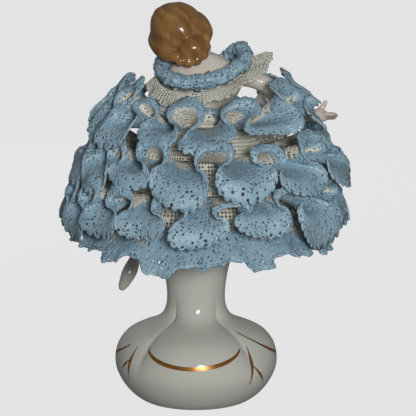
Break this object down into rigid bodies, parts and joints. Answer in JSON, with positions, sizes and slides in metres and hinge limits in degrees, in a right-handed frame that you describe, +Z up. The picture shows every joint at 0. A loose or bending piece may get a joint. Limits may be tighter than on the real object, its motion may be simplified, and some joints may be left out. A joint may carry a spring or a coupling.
{
  "type": "dresden lace figurine",
  "caption": "Seated porcelain dancer in a dome of folded blue and white lace flounces, on a lobed bun pedestal with gilded lines; stands by its own weight.",
  "frame": {"origin": "middle of the pedestal's flat underside", "axes": "+Z up along the stem, +Y the way the dancer faces, +X to her right, so her back is towards -Y"},
  "size_m": [0.0983, 0.0884, 0.1391],
  "materials": {
    "porcelain": "clear-glazed white porcelain with burnished gold lines",
    "painted_figure": "glazed porcelain, flesh tinted, hair painted brown",
    "white_lace": "slip-dipped net fired to white porcelain, thin glaze",
    "blue_lace": "slip-dipped lace fired to porcelain, sprayed grey-blue along the edge, thin glaze"
  },
  "bodies": {
    "root": {"pedestal": "porcelain", "figure": "painted_figure", "underskirt": "white_lace", "skirt_flounce_1": "blue_lace", "skirt_flounce_2": "blue_lace", "skirt_flounce_3": "blue_lace", "skirt_flounce_4": "blue_lace", "bertha_lace": "white_lace", "neckline_ruche": "blue_lace"}
  },
  "joints": []
}
